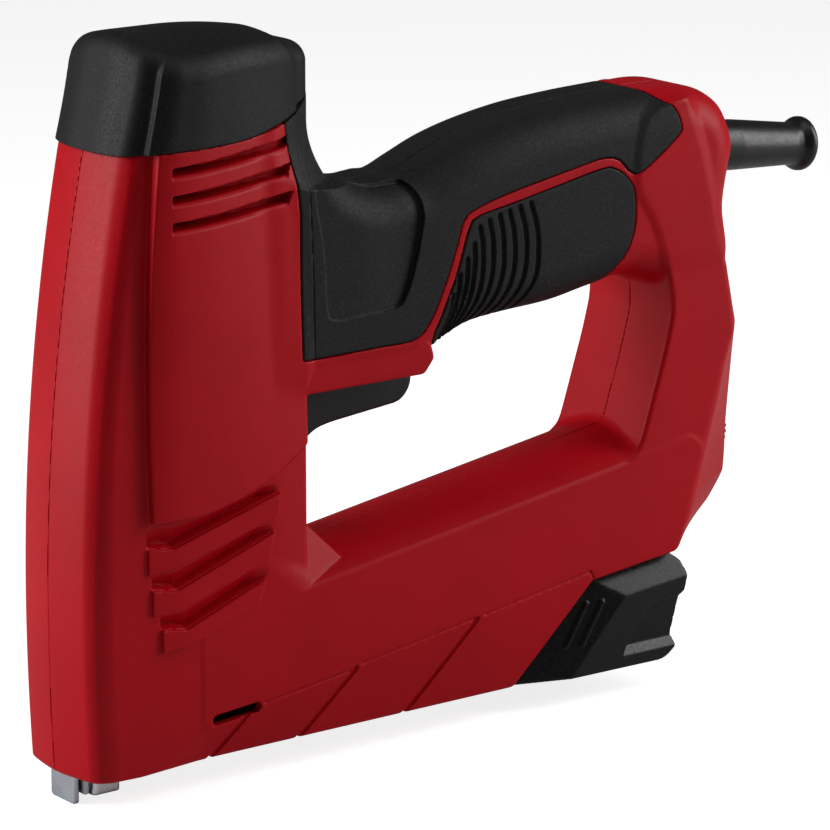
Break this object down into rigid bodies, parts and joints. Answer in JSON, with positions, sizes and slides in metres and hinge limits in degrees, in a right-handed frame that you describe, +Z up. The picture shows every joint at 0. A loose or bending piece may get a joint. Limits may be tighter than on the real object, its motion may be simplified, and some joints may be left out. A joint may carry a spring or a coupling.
{
  "type": "electric staple gun",
  "caption": "Corded hand-held electric tacker: tall solenoid head over the nose, soft-gripped D handle with trigger, and a base with a pull-out staple magazine.",
  "frame": {"origin": "on the flat bottom face of the nose, in the middle of the tool's width, just behind the driver blade", "axes": "+Z up along the driver's stroke, +X to the rear towards the cable sleeve, +Y to the tool's right side"},
  "size_m": [0.2591, 0.0466, 0.2016],
  "materials": {
    "red_shell": "fine-grained satin",
    "head_cap": "matte grained",
    "soft_grip": "matte soft-touch",
    "black_plastic": "satin",
    "rubber": "semi-gloss",
    "bright_chrome": "bright chrome plate",
    "zinc_steel": "galvanised",
    "steel": "machined",
    "iron": "blackened laminated iron",
    "copper": "enamelled copper wire",
    "natural_plastic": "natural nylon",
    "circuit_board": "lacquered"
  },
  "bodies": {
    "housing": {"housing_left": "red_shell", "housing_right": "red_shell", "head_cap": "head_cap", "soft_grip_left": "soft_grip", "soft_grip_right": "soft_grip", "grip_pad_left": "soft_grip", "grip_pad_right": "soft_grip", "housing_screw_1": "steel", "housing_screw_2": "steel", "housing_screw_3": "steel", "housing_screw_4": "steel", "housing_screw_5": "steel", "housing_screw_6": "steel", "housing_screw_7": "steel", "housing_screw_8": "steel", "trigger_pin": "steel", "trigger_spring": "steel", "microswitch": "black_plastic", "control_board": "circuit_board", "board_capacitor": "black_plastic", "board_triac": "black_plastic", "triac_heat_sink": "zinc_steel", "dial_potentiometer": "circuit_board", "coil_lead": "copper", "switch_lead": "rubber", "dial_lead": "rubber", "solenoid_yoke": "iron", "coil_bobbin": "natural_plastic", "coil_winding": "copper", "return_spring": "steel", "top_buffer": "rubber", "lower_bumper": "rubber", "nose_block": "bright_chrome", "nose_guide_plate": "steel", "safety_spring": "steel", "magazine_channel": "zinc_steel", "staple_strip": "zinc_steel", "cable_sleeve": "rubber", "cable_clamp": "black_plastic", "clamp_screw_left": "steel", "clamp_screw_right": "steel"},
    "trigger": {"trigger": "black_plastic"},
    "safety_contact": {"safety_contact": "zinc_steel"},
    "driver": {"plunger": "steel", "driver_carrier": "iron", "driver_blade": "steel", "blade_rivet": "steel"},
    "magazine": {"magazine_slider": "black_plastic", "slide_rail": "steel", "pusher_rod": "steel", "pusher_spring": "steel"},
    "pusher": {"staple_pusher": "black_plastic"},
    "dial": {"force_dial": "black_plastic"}
  },
  "joints": [
    {"name": "trigger_pull", "type": "hinge", "parent": "housing", "child": "trigger", "pos_m": [0.0685, 0, 0.1075], "axis": [0, -1, 0], "range_deg": [0, 8], "stiffness_Nm_per_rad": 1.2, "springref_deg": -6.88, "deforming": ["trigger_spring"]},
    {"name": "safety_contact_slide", "type": "slide", "parent": "housing", "child": "safety_contact", "axis": [0, 0, 1], "range_m": [0, 0.0018], "stiffness_N_per_m": 600, "springref_m": -0.004, "deforming": ["safety_spring"]},
    {"name": "driver_stroke", "type": "slide", "parent": "housing", "child": "driver", "axis": [0, 0, -1], "range_m": [0, 0.0208], "stiffness_N_per_m": 300, "springref_m": -0.01, "deforming": ["return_spring"]},
    {"name": "magazine_slide", "type": "slide", "parent": "housing", "child": "magazine", "axis": [1, 0, 0], "range_m": [0, 0.095]},
    {"name": "pusher_slide", "type": "slide", "parent": "magazine", "child": "pusher", "axis": [1, 0, 0], "range_m": [0, 0.03], "stiffness_N_per_m": 120, "springref_m": -0.05, "deforming": ["pusher_spring"]},
    {"name": "force_dial_turn", "type": "hinge", "parent": "housing", "child": "dial", "pos_m": [0.2075, 0, 0.0645], "axis": [0, 1, 0], "range_deg": [0, 270]}
  ]
}
